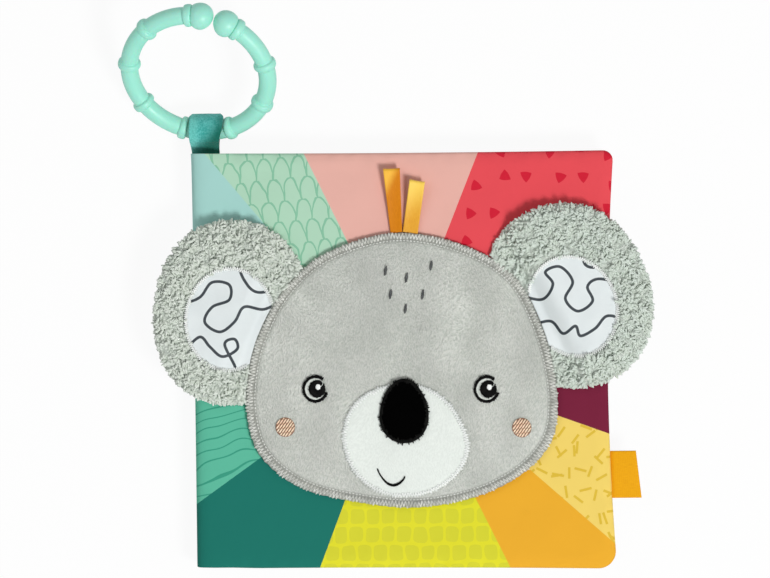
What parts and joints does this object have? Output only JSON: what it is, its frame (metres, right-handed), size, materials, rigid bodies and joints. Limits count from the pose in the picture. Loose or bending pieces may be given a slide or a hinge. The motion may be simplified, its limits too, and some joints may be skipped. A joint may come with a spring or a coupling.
{
  "type": "crinkle cloth book",
  "caption": "Soft padded cloth book with a raised animal head, fleecy ears, folded ribbons, a side tag and a fabric loop that carries an open ring.",
  "frame": {"origin": "centre of the back cover's outer face, which rests on the table", "axes": "+X from the spine to the fore-edge, +Y to the top of the page, +Z out of the front cover"},
  "size_m": [0.217, 0.2296, 0.0473],
  "materials": {
    "cover_cloth": "printed cotton",
    "lining_cloth": "plain cotton",
    "page_cloth": "printed cotton",
    "page_back_cloth": "printed cotton",
    "crinkle_film": "thin crackling film",
    "wadding": "lofty fibre",
    "binding_cloth": "rolled seam",
    "head_plush": "short pile",
    "head_backing": "plain cotton",
    "muzzle_cloth": "short pile",
    "nose_satin": "satin stitch",
    "eye_thread": "satin stitch",
    "smile_thread": "satin stitch",
    "cheek_thread": "satin stitch",
    "forehead_thread": "satin stitch",
    "ear_fleece": "curly fleece",
    "ear_patch": "printed satin",
    "ribbon_satin": "satin",
    "tag_tape": "woven tape",
    "loop_webbing": "folded cotton",
    "ring_plastic": "moulded, satin gloss"
  },
  "bodies": {
    "root": {"back_cover_lining": "lining_cloth", "back_cover_film": "crinkle_film", "back_cover_wadding": "wadding", "back_cover_outer_cloth": "cover_cloth", "spine_binding": "binding_cloth", "loop_anchor": "loop_webbing"},
    "leaf_2": {"leaf_2_front_cloth": "page_cloth", "leaf_2_film": "crinkle_film", "leaf_2_wadding": "wadding", "leaf_2_back_cloth": "page_back_cloth"},
    "leaf_1": {"leaf_1_front_cloth": "page_cloth", "leaf_1_film": "crinkle_film", "leaf_1_wadding": "wadding", "leaf_1_back_cloth": "page_back_cloth"},
    "front_cover": {"front_cover_outer_cloth": "cover_cloth", "front_cover_film": "crinkle_film", "front_cover_wadding": "wadding", "front_cover_lining": "lining_cloth", "head_plush": "head_plush", "head_wadding": "wadding", "head_backing": "head_backing", "muzzle": "muzzle_cloth", "nose": "nose_satin", "eye_left": "eye_thread", "eye_right": "eye_thread", "cheek_left": "cheek_thread", "cheek_right": "cheek_thread", "smile": "smile_thread", "forehead_stitch_1": "forehead_thread", "forehead_stitch_2": "forehead_thread", "forehead_stitch_3": "forehead_thread", "forehead_stitch_4": "forehead_thread", "forehead_stitch_5": "forehead_thread", "forehead_stitch_6": "forehead_thread", "ear_left_root": "ear_fleece", "ear_right_root": "ear_fleece"},
    "ear_left": {"ear_left_fleece": "ear_fleece", "ear_left_film": "crinkle_film", "ear_left_back": "ear_fleece", "ear_left_patch": "ear_patch"},
    "ear_right": {"ear_right_fleece": "ear_fleece", "ear_right_film": "crinkle_film", "ear_right_back": "ear_fleece", "ear_right_patch": "ear_patch"},
    "ribbon_left": {"ribbon_left": "ribbon_satin"},
    "ribbon_right": {"ribbon_right": "ribbon_satin"},
    "side_tag": {"side_tag": "tag_tape"},
    "hanger_loop": {"hanger_loop": "loop_webbing"},
    "ring": {"ring": "ring_plastic"}
  },
  "joints": [
    {"name": "cover_open", "type": "hinge", "parent": "root", "child": "front_cover", "pos_m": [-0.0849, 0, 0.00865], "axis": [0, -1, 0], "range_deg": [0, 180]},
    {"name": "leaf_1_turn", "type": "hinge", "parent": "root", "child": "leaf_1", "pos_m": [-0.0849, 0, 0.00865], "axis": [0, -1, 0], "range_deg": [0, 120]},
    {"name": "leaf_2_turn", "type": "hinge", "parent": "root", "child": "leaf_2", "pos_m": [-0.0849, 0, 0.00865], "axis": [0, -1, 0], "range_deg": [0, 60]},
    {"name": "ear_left_fold", "type": "hinge", "parent": "front_cover", "child": "ear_left", "pos_m": [-0.05697, 0.0236, 0.0199], "axis": [0.3827, 0.9239, 0], "range_deg": [0, 100]},
    {"name": "ear_right_fold", "type": "hinge", "parent": "front_cover", "child": "ear_right", "pos_m": [0.05216, 0.02578, 0.0199], "axis": [0.4431, -0.8965, 0], "range_deg": [0, 100]},
    {"name": "ribbon_left_lift", "type": "hinge", "parent": "front_cover", "child": "ribbon_left", "pos_m": [-0.0032, 0.0524, 0.0187], "axis": [1, 0, 0], "range_deg": [0, 90]},
    {"name": "ribbon_right_lift", "type": "hinge", "parent": "front_cover", "child": "ribbon_right", "pos_m": [0.0029, 0.0524, 0.0187], "axis": [1, 0, 0], "range_deg": [0, 90]},
    {"name": "tag_swing", "type": "hinge", "parent": "front_cover", "child": "side_tag", "pos_m": [0.0826, -0.0466, 0.015], "axis": [0, -1, 0], "range_deg": [-45, 45], "stiffness_Nm_per_rad": 0.002},
    {"name": "loop_swing", "type": "hinge", "parent": "root", "child": "hanger_loop", "pos_m": [-0.0799, 0.0878, 0.00865], "axis": [0.9766, 0, 0.2152], "range_deg": [-4, 20]},
    {"name": "ring_swing", "type": "hinge", "parent": "hanger_loop", "child": "ring", "pos_m": [-0.0799, 0.0938, 0.00865], "axis": [0.9764, -0.016, 0.2152], "range_deg": [-24, 34]}
  ],
  "couplings": [
    {"joint": "leaf_1_turn", "follows": "cover_open", "ratio": 0.66667},
    {"joint": "leaf_2_turn", "follows": "cover_open", "ratio": 0.33333}
  ]
}
